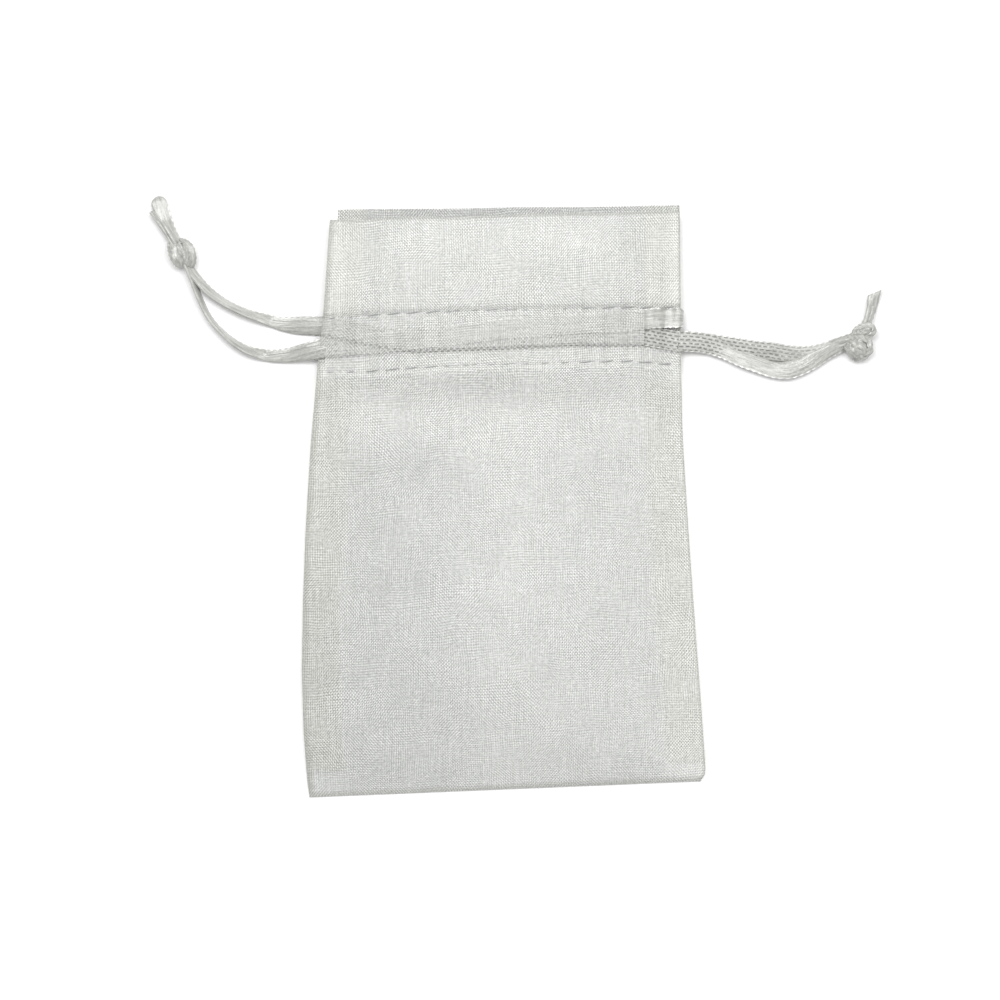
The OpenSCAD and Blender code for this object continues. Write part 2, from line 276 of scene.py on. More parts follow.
def shell(grid, thickness, keep=None):
    """Closed thin sheet round a grid of points (rows, columns, 3), without the cells that keep leaves out.
    Returns points, faces and the place in the grid that each point comes from."""
    rows, cols = grid.shape[:2]
    along = np.gradient(grid, axis=1)
    up = np.gradient(grid, axis=0)
    normal = np.cross(along, up)
    normal /= np.maximum(np.linalg.norm(normal, axis=2, keepdims=True), 1e-9)
    keep = np.ones((rows - 1, cols - 1), bool) if keep is None else keep
    half = normal * thickness / 2
    points = np.concatenate([(grid + half).reshape(-1, 3), (grid - half).reshape(-1, 3)])
    count = rows * cols
    faces = []
    for j in range(rows - 1):
        for i in range(cols - 1):
            if not keep[j, i]:
                continue
            a, b, c, d = j * cols + i, j * cols + i + 1, (j + 1) * cols + i + 1, (j + 1) * cols + i
            faces.append((a, b, c, d))
            faces.append((count + d, count + c, count + b, count + a))
            for p, q, nj, ni in ((a, b, j - 1, i), (b, c, j, i + 1), (c, d, j + 1, i), (d, a, j, i - 1)):
                if not (0 <= nj < rows - 1 and 0 <= ni < cols - 1 and keep[nj, ni]):
                    faces.append((q, p, count + p, count + q))
    used = np.unique(np.array([v for f in faces for v in f]))
    renumber = np.full(2 * count, -1)
    renumber[used] = np.arange(len(used))
    faces = [tuple(int(renumber[v]) for v in f) for f in faces]
    return points[used], faces, used % count


def places(obj):
    """An object's points, in mm."""
    co = np.zeros(3 * len(obj.data.vertices))
    obj.data.vertices.foreach_get("co", co)
    return co.reshape(-1, 3) / MM


def gather(obj):
    """Bakes the object's placement into its points and reads where they lie; nothing is drawn in towards the
    middle."""
    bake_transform(obj)
    x, y, _ = places(obj).T


def pull(obj):
    """Bakes a free end's placement into its points and works out how far each point would be held between its
    mouth and the knot; nothing moves.
    """
    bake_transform(obj)
    mouth_x, knot_x = 28.2, 50
    held = np.clip((knot_x - np.abs(places(obj)[:, 0])) / (knot_x - mouth_x), 0, 1)


# ---- materials
class Nodes:
    """Short calls for building a material's nodes."""

    def __init__(self, name):
        self.material = bpy.data.materials.new(name)
        self.material.use_nodes = True
        self.tree = self.material.node_tree
        self.tree.nodes.clear()
        self.out = self.add("OutputMaterial")

    def add(self, kind, inputs=None, **settings):
        node = self.tree.nodes.new("ShaderNode" + kind)
        for key, value in settings.items():
            setattr(node, key, value)
        for key, value in (inputs or {}).items():
            self.put(node.inputs[key], value)
        return node

    def put(self, socket, value):
        if isinstance(value, bpy.types.NodeSocket):
            self.tree.links.new(value, socket)
        elif value is not None:
            socket.default_value = value

    def math(self, operation, a, b=None, clamp=False):
        node = self.add("Math", operation=operation, use_clamp=clamp)
        self.put(node.inputs[0], a)
        self.put(node.inputs[1], b)
        return node.outputs[0]

    def plus(self, a, b, clamp=False):
        return self.math("ADD", a, b, clamp)

    def minus(self, a, b):
        return self.math("SUBTRACT", a, b)

    def times(self, a, b, clamp=False):
        return self.math("MULTIPLY", a, b, clamp)

    def off_middle(self, value):
        """How far a share lies from a half."""
        return self.math("ABSOLUTE", self.minus(value, 0.5))

    def attribute(self, name):
        return self.add("Attribute", attribute_name=name).outputs["Fac"]

    def weave(self):
        """The place on the cloth in mm, as a vector and as its two distances."""
        place = self.add("UVMap", uv_map="weave").outputs[0]
        split = self.add("SeparateXYZ", {"Vector": place})
        return place, split.outputs[0], split.outputs[1]

    def noise(self, vector, scale, detail=2.0, rough=0.5):
        inputs = {"Vector": vector, "Scale": scale, "Detail": detail, "Roughness": rough}
        return self.add("TexNoise", inputs).outputs["Fac"]

    def stretched_noise(self, vector, stretch, detail=2, rough=0.6, scale=1.0):
        inputs = {"Vector": vector, "Scale": stretch}
        moved = self.add("Mapping", inputs, vector_type="POINT").outputs[0]
        return self.noise(moved, scale, detail, rough)

    def range(self, value, a, b, c, d):
        """Maps a to c and b to d, and holds the value between them."""
        inputs = {"Value": value, "From Min": a, "From Max": b, "To Min": c, "To Max": d}
        return self.add("MapRange", inputs).outputs[0]

    def mix(self, factor, a, b):
        """Mixes two colours, each of them a socket or (red, green, blue)."""
        node = self.add("Mix", data_type="RGBA")
        for number, value in ((0, factor), (6, a), (7, b)):
            self.put(node.inputs[number], value + (1,) if isinstance(value, tuple) else value)
        return node.outputs[2]

    def bump(self, height, strength, distance):
        inputs = {"Height": height, "Strength": strength, "Distance": distance}
        return self.add("Bump", inputs).outputs[0]

    def finish(self, shader):
        """Ends the material with its shader."""
        self.put(self.out.inputs["Surface"], shader.outputs[0])
        return self.material


def body_shade(x, y):
    """How much painted shade greys the front beyond the plain header: the body most in its left half and not
    at all on the right turned-in edge, and the header a little along its top."""
    share = side_share(x, y)
    level = smooth_table([(-46, 1.0), (-25, 0.95), (4, 0.85), (17, 0.0)], y)
    sideways = smooth_table([(-1, 0.12), (-0.84, 0.13), (-0.74, 0.30), (-0.4, 0.28), (0, 0.10), (0.5, 0.14),
                             (0.76, 0.16), (0.84, 0.0), (1, 0.0)], share)
    low_left = 0.14 * smooth((-y - 5) / 25) * smooth((-share - 0.7) / 0.2)
    top = 0.16 * smooth((y - front_top_line(x) + 4) / 3)
    return level * (sideways + low_left) + top


def organza(name, opacity, doubled, strength):
    """Sheer plain weave of crisp threads 0.4 mm apart. Where plies lie over each other their threads fall in
    and out of step, which draws slanting hatches in patches. doubled is the dark and the light colour where
    the plies attribute is 1, as far as strength says."""
    n = Nodes(name)
    place, across, up = n.weave()
    u = n.plus(across, n.times(n.noise(place, 0.10, 2), 1.6))
    v = n.plus(up, n.times(n.noise(place, 0.08, 2), 2.1))

    def waves_along(value, period):
        return n.math("SINE", n.times(value, 2 * math.pi / period))

    def patches(scale, shift, low, high):
        moved = n.add("VectorMath", {0: place, 1: (shift, shift * 0.7, 0)}, operation="ADD").outputs[0]
        return n.range(n.noise(moved, scale, 1), low, high, 0, 1)

    warp = n.times(waves_along(u, 0.37), patches(0.21, 5, 0.35, 0.6))
    weft = n.times(waves_along(v, 0.41), patches(0.19, 23, 0.35, 0.6))
    rising = n.times(waves_along(n.plus(u, n.times(v, 0.8)), 0.46), patches(0.12, 13, 0.42, 0.62))
    falling = n.times(waves_along(n.minus(u, n.times(v, 0.9)), 0.49), patches(0.14, 41, 0.42, 0.62))
    threads = n.times(n.plus(warp, weft), 0.5)
    hatch = n.times(n.plus(rising, falling), 0.5)
    tone = n.plus(n.times(threads, 0.36), n.times(hatch, 0.52))
    for value, size in ((n.stretched_noise(place, (2.6, 0.16, 1), 3, 0.7), 0.5),  # streaks up
                        (n.stretched_noise(place, (0.22, 2.4, 1), 3, 0.7), 0.4),  # streaks across
                        (n.stretched_noise(place, (1.7, 2.3, 1), 3, 0.85), 1.25),  # grain
                        (n.noise(place, 0.11, 3), 0.22)):  # broad clouds
        tone = n.plus(tone, n.times(n.minus(value, 0.5), size))

    plies = n.attribute("plies")
    cover = n.plus(n.plus(opacity, n.times(tone, 0.6)), n.times(plies, 0.12), clamp=True)
    light = n.range(tone, -0.45, 0.45, 0, 1)
    colour = n.mix(light, (0.57, 0.58, 0.56), (0.985, 0.99, 0.965))
    colour = n.mix(n.times(plies, strength, clamp=True), colour, n.mix(light, *doubled))
    # Painted shade: the cloth greys towards a darker copy of its own tone as far as the painted-shade
    # attribute says.
    shaded = n.mix(n.range(tone, -0.4, 0.4, 0, 1), (0.02, 0.025, 0.025), (0.58, 0.595, 0.59))
    colour = n.mix(n.attribute("painted_shade"), colour, shaded)
    # Painted shade: a darker grey along the cloth's folded edges.
    colour = n.mix(n.attribute("fold_shade"), colour, (0.34, 0.345, 0.32))

    # Where the casing is pressed on a ribbon's edge, the ribbon's loops show as two staggered ranks of dots.
    rank_height, dot_pitch = 0.46, 0.95
    rank = n.math("DIVIDE", up, rank_height)
    stagger = n.times(n.math("FLOOR", rank), 0.5 * dot_pitch)
    in_rank = n.range(n.off_middle(n.math("FRACT", rank)), 0.2, 0.45, 1, 0.25)
    dots = n.times(n.range(waves_along(n.plus(across, stagger), dot_pitch), -0.3, 0.6, 0.1, 1), in_rank)
    colour = n.mix(n.times(n.attribute("pressed"), dots), colour, (0.22, 0.225, 0.21))

    cloth = n.add("BsdfPrincipled", {
        "Base Color": colour, "Roughness": 0.48, "Sheen Weight": 0.2, "Sheen Roughness": 0.4,
        "Specular IOR Level": 0.4, "Normal": n.bump(tone, 0.45, 0.0001)})
    through = n.add("BsdfTranslucent", {"Color": colour})
    fibre = n.add("MixShader", {0: 0.18, 1: cloth.outputs[0], 2: through.outputs[0]})
    clear = n.add("BsdfTransparent")
    seen = n.times(cover, n.minus(1.0, n.add("NewGeometry").outputs["Backfacing"]))
    return n.finish(n.add("MixShader", {0: seen, 1: clear.outputs[0], 2: fibre.outputs[0]}))


def satin(name):
    """Satin ribbon: long glossy floats on its face, rows of short dark dashes on its back, looped edges."""
    n = Nodes(name)
    place, along, across = n.weave()
    floats = n.stretched_noise(place, (0.16, 1.9, 1))
    threads = n.stretched_noise(place, (0.5, 5.0, 1))
    specks = n.stretched_noise(place, (2.6, 2.4, 1), rough=0.7)
    face = n.plus(n.times(floats, 0.45), n.plus(n.times(threads, 0.35), n.times(specks, 0.2)))
    face = n.range(face, 0.38, 0.62, 0, 1)

    # The back's dashes are laid like bricks, with a little wander.
    row_height, column_width = 0.54, 1.0
    wander = n.times(n.minus(n.stretched_noise(place, (1.3, 0.8, 1), rough=0.5), 0.5), 0.35)
    row = n.math("DIVIDE", n.plus(across, wander), row_height)
    stagger = n.math("FRACT", n.times(n.math("FLOOR", row), 0.5))
    column = n.math("FRACT", n.plus(n.math("DIVIDE", n.plus(along, wander), column_width), stagger))
    in_column = n.range(n.off_middle(column), 0.26, 0.38, 1, 0)
    in_row = n.range(n.off_middle(n.math("FRACT", row)), 0.10, 0.34, 1, 0)
    dash = n.times(in_column, in_row)

    rim = n.range(n.math("ABSOLUTE", across), 1.36, 1.52, 0, 1)
    loops = n.math("SINE", n.times(along, 2 * math.pi / RIBBON_LOOP_PITCH))

    back_side = n.attribute("back_side")
    face_colour = n.mix(face, (0.26, 0.265, 0.245), (0.54, 0.54, 0.51))
    back_colour = n.mix(face, (0.29, 0.295, 0.275), (0.60, 0.60, 0.57))
    dash_share = n.times(dash, n.range(specks, 0.35, 0.55, 0.5, 1.0))
    back_colour = n.mix(dash_share, back_colour, (0.10, 0.105, 0.095))
    rim_colour = n.mix(n.range(loops, -0.7, 0.7, 0, 1), (0.46, 0.46, 0.44), (0.97, 0.97, 0.95))
    colour = n.mix(back_side, face_colour, back_colour)
    colour = n.mix(n.times(rim, n.range(floats, 0.42, 0.58, 0.3, 1.0)), colour, rim_colour)
    height = n.minus(face, n.times(n.times(dash, back_side), 0.5))
    height = n.plus(height, n.times(n.times(loops, rim), 0.2))
    return n.finish(n.add("BsdfPrincipled", {
        "Base Color": colour, "Roughness": n.range(back_side, 0, 1, 0.22, 0.4), "Specular IOR Level": 1.0,
        "Sheen Weight": 0.1, "Anisotropic": 0.4, "Normal": n.bump(height, 0.6, 0.00006)}))


def sewing_thread(name, red, green, blue):
    """Two-ply thread: its turns show as slanting lines."""
    n = Nodes(name)
    place, along, around = n.weave()
    twist = n.math("SINE", n.plus(n.times(along, 16.0), n.times(around, 2 * math.pi)))
    tone = n.plus(n.times(twist, 0.3), n.stretched_noise(place, (3, 1, 1), 3, 0.5, scale=2.0))
    dark = (0.62 * red, 0.62 * green, 0.62 * blue)
    colour = n.mix(n.range(tone, 0.1, 0.9, 0, 1), dark, (red, green, blue))
    return n.finish(n.add("BsdfPrincipled", {
        "Base Color": colour, "Roughness": 0.55, "Sheen Weight": 0.2, "Normal": n.bump(tone, 0.5, 0.00005)}))


organza_cloth = organza("organza_cloth", 0.66, ((0.60, 0.60, 0.55), (1.0, 1.0, 0.93)), 0.8)
organza_allowance = organza("organza_allowance", 0.68, ((0.44, 0.435, 0.37), (0.96, 0.95, 0.84)), 1.0)
ribbon_satin = satin("ribbon_satin")
# The rows' thread grey is partly its own tone and partly painted shade on the stitches.
row_thread = sewing_thread("row_thread", 0.38, 0.39, 0.38)
seam_thread = sewing_thread("seam_thread", 0.66, 0.67, 0.64)

# ---- free ribbon ends (the cords)
# The routes that part.scad's free ends follow: x, y, height of the middle, width, in mm.
LEFT_FRONT = [(-28.2, 24.6, 1.93, 3.2), (-31, 24, 1.4, 3), (-33, 23.6, 0.9, 2.65),
              (-35, 23.35, 0.6, 2.35), (-37, 23.3, 0.5, 2.1), (-39, 23.6, 0.5, 1.8),
              (-41, 24.2, 0.5, 1.5), (-43, 25.3, 0.5, 1.3), (-45, 27, 0.6, 1), (-46.8, 29, 0.7, 0.95),
              (-48, 31.1, 0.8, 0.95), (-49, 33.4, 1, 1), (-50, 36.2, 1.1, 1.1), (-51.4, 39.4, 1, 1.3),
              (-52.8, 41.5, 0.9, 1.3), (-53.8, 43, 0.5, 1.2), (-55, 44.8, 0.3, 1.25),
              (-56.1, 46.4, 0.2, 1.3)]
LEFT_BACK = [(-28.2, 28.1, 0.38, 3.2), (-31, 28.1, 0.35, 3.15), (-33, 28.15, 0.3, 2.9),
             (-35, 28.35, 0.3, 2.5), (-37, 28.8, 0.4, 2), (-39, 29.4, 0.5, 1.7), (-41, 30.05, 0.5, 1.5),
             (-43, 30.9, 0.5, 1.4), (-45, 32, 0.6, 1.35), (-46.8, 33.3, 0.8, 1.5),
             (-48.4, 34.9, 1.1, 1.5), (-50, 36.9, 1.1, 1.5), (-51.3, 39.4, 1, 1.3),
             (-52.2, 41.4, 1.2, 1.35), (-53.1, 43.2, 1.2, 1.55), (-54.05, 45.2, 0.9, 2),
             (-54.8, 46.9, 0.7, 2.55), (-55.4, 48.75, 0.6, 2.6)]
RIGHT_FRONT = [(27.9, 25.5, 1.6, 3.2), (30.5, 25.4, 1.3, 3.2), (33, 25, 0.9, 3.2), (35.5, 24.2, 0.6, 3.2),
               (38, 23, 0.5, 3.1), (40.4, 21.9, 0.5, 2.7), (42.8, 21.1, 0.5, 2.7), (45.2, 20.9, 0.6, 2.9),
               (47.4, 21.5, 0.7, 2.8), (49.4, 22.5, 0.7, 2.7), (51.4, 23.6, 0.8, 2.3),
               (53.4, 24.6, 1.1, 2), (55.4, 25.4, 1.1, 1.6), (57.2, 26.6, 1, 1.4), (58.1, 28.4, 1.1, 1.4),
               (58.8, 30.7, 0.9, 1.7), (59.3, 33, 0.7, 2.15)]
RIGHT_BACK = [(27.9, 25.7, 0.73, 3.2), (30.5, 25.6, 0.6, 3.2), (33, 25.25, 0.35, 3.2),
              (35.5, 24.9, 0.3, 3.2), (38, 24.5, 0.3, 3.2), (40.4, 24.2, 0.3, 3.1), (42.8, 24, 0.4, 3),
              (45.2, 23.7, 0.4, 2.8), (47.6, 23.6, 0.5, 2.6), (50, 24, 0.6, 2.3), (52.2, 24.8, 0.8, 2),
              (54.4, 25.7, 0.9, 1.7), (56.4, 26.6, 0.8, 1.5), (57.6, 28, 0.7, 1.3),
              (58.3, 29.6, 0.5, 1.2), (58.7, 31.2, 0.2, 1.2)]


def smooth_path(points, step):
    """A smooth line through the points (any number of columns), a step apart."""
    p = np.array(points, float)
    p = np.vstack([2 * p[0] - p[1], p, 2 * p[-1] - p[-2]])
    fine = []
    for k in range(1, len(p) - 2):
        for t in np.linspace(0, 1, 24, endpoint=False):
            a, b, c, d = p[k - 1], p[k], p[k + 1], p[k + 2]
            fine.append(0.5 * (2 * b + (c - a) * t + (2 * a - 5 * b + 4 * c - d) * t**2
                               + (3 * b - a - 3 * c + d) * t**3))
    fine.append(p[-2])
    fine = np.array(fine)
    length = distances(fine[:, :3])
    count = max(2, int(round(length[-1] / step)) + 1)
    at = np.linspace(0, length[-1], count)
    return np.column_stack([np.interp(at, length, fine[:, k]) for k in range(fine.shape[1])]), at


def section(width, roll, fold_side):
    """Section of a ribbon that doubles back below itself along one edge until it looks only so wide from
    above, and leans over for what is left. fold_side is the edge that folds, 1 for the left one and -1 for
    the right. Returns distances across the cloth, and offsets and facing directions (level, up)."""
    half = RIBBON / 2
    fold_arc, fold_turn = 0.62, 3.05

    def shape(hinge, lean):
        far = min(hinge + fold_arc, half - 0.02)
        s = np.concatenate([np.linspace(-half, hinge, 8)[:-1], np.linspace(hinge, far, 7)[:-1],
                            np.linspace(far, half, 4)])
        turn = -0.13 * s - fold_turn * np.clip((s - hinge) / fold_arc, 0, 1)
        step = np.diff(s)
        middle = (turn[1:] + turn[:-1]) / 2
        level = np.concatenate([[0], np.cumsum(step * np.cos(middle))])
        up = np.concatenate([[0], np.cumsum(step * np.sin(middle))])
        level = fold_side * (level - (level.max() + level.min()) / 2)
        out_level, out_up = -fold_side * np.sin(turn), np.cos(turn)
        c, d = math.cos(lean), math.sin(lean)
        return (fold_side * s, level * c - up * d, level * d + up * c,
                out_level * c - out_up * d, out_level * d + out_up * c)

    def seen(hinge, lean):
        level = shape(hinge, lean)[1]
        return level.max() - level.min() + RIBBON_THICK

    flat = half - 0.04  # a hinge this far out leaves the ribbon unfolded
    hinge, lean = flat, roll
    if seen(hinge, lean) > width:
        low, high = 0.05, flat
        for _ in range(16):
            hinge = (low + high) / 2
            low, high = (low, hinge) if seen(hinge, lean) > width else (hinge, high)
        if seen(hinge, lean) > width + 0.03:
            low, high = 0.0, math.radians(84) - fold_side * roll
            for _ in range(14):
                extra = (low + high) / 2
                lean = roll + fold_side * extra
                low, high = (extra, high) if seen(hinge, lean) > width else (low, extra)
    found = shape(hinge, lean)
    order = np.argsort(found[0])
    s, level, up, out_level, out_up = (part[order] for part in found)
    return s, level - (level.max() + level.min()) / 2, up - (up.max() + up.min()) / 2, out_level, out_up


def flat_section(drawn_in):
    """The same for a flat ribbon, a share narrower."""
    s = np.linspace(-RIBBON / 2, RIBBON / 2, RIBBON_POINTS)
    return s, s * (1 - drawn_in), 0 * s, 0 * s, 0 * s + 1


def ribbon_mesh(path, at, sections, level_dirs, up_dirs, cut=0.0, tip=0.0):
    """A thin ribbon swept along a path, with looped edges. cut slants its end and tip rounds it, both in mm.
    Returns points, faces and uv."""
    upper, lower, uv = [], [], []
    for k in range(len(path)):
        s, level, up, out_level, out_up = sections[k]
        ahead = np.cross(level_dirs[k], up_dirs[k])
        narrow = 1.0
        if tip > 0 and at[k] > at[-1] - tip:
            narrow = max(0.2, math.sqrt(max(0.0, 1 - ((at[k] - at[-1] + tip) / tip) ** 2)))
        loop = np.where(np.abs(s) > 1.5, 0.035 * math.sin(2 * math.pi * at[k] / RIBBON_LOOP_PITCH), 0.0)
        slide = cut * s / RIBBON * smooth((at[k] - at[-1] + 3) / 3)
        out = out_level[:, None] * level_dirs[k] + out_up[:, None] * up_dirs[k]
        edge_way = np.sign(s)[:, None] * (out_up[:, None] * level_dirs[k] - out_level[:, None] * up_dirs[k])
        centre = path[k][None, :] + narrow * (level[:, None] * level_dirs[k] + up[:, None] * up_dirs[k])
        centre = centre + slide[:, None] * ahead + loop[:, None] * edge_way
        centre[:, 2] -= 0.45 * (1 - narrow)
        upper.append(centre + out * RIBBON_THICK / 2)
        lower.append(centre - out * RIBBON_THICK / 2)
        uv.append(np.column_stack([np.full(len(s), at[k]), s]))
    upper, lower, uv = np.array(upper), np.array(lower), np.array(uv)
    ring = 2 * upper.shape[1]
    points = np.concatenate([upper, lower[:, ::-1]], axis=1).reshape(-1, 3)
    points[:, 2] = np.maximum(points[:, 2], 0.03)
    both = np.concatenate([uv, uv[:, ::-1]], axis=1).reshape(-1, 2)
    faces = [tuple(range(ring - 1, -1, -1))]
    for k in range(len(path) - 1):
        for m in range(ring):
            q = (m + 1) % ring
            faces.append((k * ring + m, k * ring + q, (k + 1) * ring + q, (k + 1) * ring + m))
    faces.append(tuple((len(path) - 1) * ring + m for m in range(ring)))
    return points, faces, both


def two_sides(reverse, at):
    """How far each point shows the ribbon's back: the under side is always the other one."""
    shown = np.repeat(smooth_table(reverse, at)[:, None], RIBBON_POINTS, 1)
    return np.concatenate([shown, 1 - shown], axis=1).ravel()


def free_end(name, node, route, reverse, rolls, cut=0.0, fold_side=1, tip=0.0):
    """One leg of a drawstring, from its mouth through the knot to its tip. reverse (which side shows) and
    rolls (how it leans, in degrees) are tables along its length."""
    path, at = smooth_path(route, 0.3)
    centre, widths = path[:, :3], np.clip(path[:, 3], 0.8, RIBBON)
    heading = np.gradient(centre, axis=0)
    heading[:, 2] *= 0.5  # turns the sections less than the path climbs
    heading = unit(heading)
    level = unit(np.cross([0, 0, 1], heading))
    raised = np.cross(heading, level)
    sections = [section(w, math.radians(r), fold_side) for w, r in zip(widths, smooth_table(rolls, at))]
    for k in range(len(centre)):  # each section rests on the table at the lowest
        low = (sections[k][2] * raised[k][2]).min() - RIBBON_THICK / 2
        centre[k][2] = max(centre[k][2], 0.04 - low)
    for _ in range(3):
        centre[1:-1, 2] = np.maximum(centre[1:-1, 2], (centre[:-2, 2] + centre[1:-1, 2] + centre[2:, 2]) / 3)
    points, faces, uv = ribbon_mesh(centre, at, sections, level, raised, cut, tip)
    back_side = two_sides(reverse, at)
    obj = mesh_piece(name, [node], ribbon_satin, points, faces, uv, {"back_side": back_side}, 60)
    pull(obj)


def crumple(a, b):
    """Small uneven creases, from -1 to 1, over distances in mm."""
    return 0.5 * np.sin(4.1 * a + 1.7 * np.sin(2.3 * b)) + 0.5 * np.sin(5.7 * b + 1.9 * np.sin(2.9 * a) + 1)


def joined(parts):
    """Several pieces, each as points, faces and uv, as one."""
    faces, count = [], 0
    for points, part_faces, _ in parts:
        faces += [tuple(v + count for v in face) for face in part_faces]
        count += len(points)
    return np.vstack([part[0] for part in parts]), faces, np.vstack([part[2] for part in parts])


def closed_rings(rings, uv):
    """Joins rings of points into a closed tube. Returns points, faces and uv."""
    count, ring = rings.shape[:2]
    faces = [tuple(range(ring))]
    for k in range(count - 1):
        for m in range(ring):
            q = (m + 1) % ring
            faces.append((k * ring + q, k * ring + m, (k + 1) * ring + m, (k + 1) * ring + q))
    faces.append(tuple((count - 1) * ring + m for m in range(ring - 1, -1, -1)))
    return rings.reshape(-1, 3), faces, uv.reshape(-1, 2)


def band(points, width, thick, creases):
    """A pleated ribbon swept along a line through points [x, y, z], as a closed flattened tube."""
    line, at = smooth_path(points, 0.11)
    heading = unit(np.gradient(line, axis=0))
    out = line - (line.mean(axis=0) - np.array([0, 0, 1.6]))
    out = unit(out - (out * heading).sum(1, keepdims=True) * heading)
    across = np.cross(out, heading)
    angle = np.linspace(0, 2 * math.pi, 28, endpoint=False)
    sine, cosine = np.sin(angle), np.cos(angle)
    rings, uv = [], []
    for k in range(len(line)):
        taper = 0.5 + 0.5 * math.sin(math.pi * k / (len(line) - 1)) ** 0.5
        wide = width / 2 * taper * np.sign(sine) * np.abs(sine) ** 0.8
        high = thick / 2 * taper * np.sign(cosine) * np.abs(cosine) ** 0.8
        high = high + creases * crumple(wide * 1.4, at[k] * 0.8) * np.clip(cosine + 0.3, 0, 1)
        frill = 0.05 * math.sin(2 * math.pi * at[k] / 0.7) * (np.abs(sine) > 0.9) * np.sign(sine)
        rings.append(line[k] + (wide + frill)[:, None] * across[k] + high[:, None] * out[k])
        uv.append(np.column_stack([np.full(len(angle), at[k]), 1.5 * sine]))
    return closed_rings(np.array(rings), np.array(uv))


def lump(centre, radii, heading, creases):
    """The crowded middle of a knot: a creased rounded lump. heading is the way its first radius points, in
    degrees."""
    c, d = math.cos(math.radians(heading)), math.sin(math.radians(heading))
    around = np.linspace(0, 2 * math.pi, 36, endpoint=False)
    rings, uv = [], []
    for share in np.linspace(-0.97, 0.97, 34):
        size = 1 + creases * crumple(2.2 * around, 3.0 * share + 0.6 * np.sin(around))
        size *= math.sqrt(1 - share * share)
        x = radii[0] * share + 0 * around
        y, z = radii[1] * size * np.cos(around), radii[2] * size * np.sin(around)
        rings.append(np.column_stack([centre[0] + c * x - d * y, centre[1] + d * x + c * y, centre[2] + z]))
        uv.append(np.column_stack([x, 1.2 * np.sin(around + 0.7)]))
    points, faces, uv = closed_rings(np.array(rings), np.array(uv))
    return points, [face[::-1] for face in faces], uv


def knot(name, node, body, centre, parts):
    """An overhand knot drawn tight: the turns of ribbon that show round its crowded middle. parts holds bands
    and lumps with their settings, placed from the knot's centre."""
    pieces = []
    for number, (make, place, *settings) in enumerate(parts):
        points, faces, uv = make(np.array(place) + centre, *settings)
        pieces.append((points, faces, uv + [3.7 * number, 0]))
    points, faces, uv = joined(pieces)
    points[:, 2] = np.maximum(points[:, 2], 0.06)
    back_side = np.zeros(len(points))
    obj = mesh_piece(name, [node], ribbon_satin, points, faces, uv, {"back_side": back_side})
    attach(obj, body)
    return obj


left_knot = knot("knot_left", "left_knot", "left_drawstring", (-51.36, 39.5, 0), [
    (lump, (0.35, -0.3, 1.2), (2.0, 1.35, 1.15), 112, 0.12),
    (band, [(-0.4, 2.3, 0.7), (0.4, 1.95, 1.5), (1.25, 1.1, 1.9), (1.65, 0.0, 2.0), (1.75, -1.1, 1.7),
            (1.3, -2.3, 1.0)], 1.2, 0.6, 0.1),
    (band, [(-1.6, 1.95, 1.0), (-1.2, 1.0, 1.9), (-0.85, 0.0, 2.25), (-0.4, -0.95, 2.0), (0.1, -1.95, 1.0)],
     2.6, 0.8, 0.34),
    (band, [(0.2, 1.7, 1.7), (0.65, 0.6, 2.2), (0.75, -0.6, 2.2), (0.6, -1.8, 1.6)], 0.7, 0.45, 0.12),
])
right_knot = knot("knot_right", "right_knot", "right_drawstring", (56.6, 25.7, 0), [
    (lump, (-0.15, -1.2, 1.3), (2.0, 1.75, 1.3), 20, 0.13),
    (lump, (0.85, 1.45, 1.3), (1.7, 0.95, 1.15), 25, 0.1),
    (band, [(-0.9, 0.5, 1.4), (-0.4, 1.7, 1.9), (1.1, 2.4, 2.1), (2.4, 2.1, 2.0), (2.3, 1.1, 1.9),
            (1.0, 0.5, 1.9)], 0.9, 0.55, 0.16),
    (band, [(-1.6, 0.5, 1.2), (0.1, 0.4, 2.1), (1.6, -0.1, 2.1), (1.9, -1.5, 1.9), (0.9, -2.7, 1.3),
            (-0.6, -3.1, 0.8)], 1.1, 0.55, 0.2),
    (band, [(-2.0, -0.3, 1.1), (-0.5, -0.6, 2.35), (0.7, -1.1, 2.45), (0.9, -2.0, 1.9), (0.1, -2.5, 1.5)],
     1.1, 0.55, 0.2),
    (band, [(-2.2, -1.0, 1.1), (-1.2, -1.5, 2.0), (-0.5, -2.1, 1.8), (-0.6, -2.8, 1.1)], 1.1, 0.6, 0.2),
])

free_end("ribbon_end_left_front", "left_ribbon_front_end", LEFT_FRONT,
         [(0, 0.5), (4, 0)], [(0, 2), (4, -9), (10, -8), (18, 20), (26, 12), (32, 5)], cut=0.2)
free_end("ribbon_end_left_back", "left_ribbon_back_end", LEFT_BACK,
         [(0, 0), (6, 0.1), (12, 0)], [(0, 2), (5, -8), (12, 8), (20, 20), (27, 6), (32, 10)], tip=1.25)
free_end("ribbon_end_right_front", "right_ribbon_front_end", RIGHT_FRONT,
         [(0, 1), (6.5, 1), (8.5, 0), (15, 0), (19, 0.35), (26, 0.2)],
         [(0, 1), (5, 2), (8, -14), (14, -16), (19, -6), (26, 2)], cut=-2.2)
free_end("ribbon_end_right_back", "right_ribbon_back_end", RIGHT_BACK,
         [(0, 0.6), (10, 1), (20, 0.6), (26, 0.2)], [(0, 1), (8, 8), (18, 8), (26, -2)],
         cut=0.3, fold_side=-1)


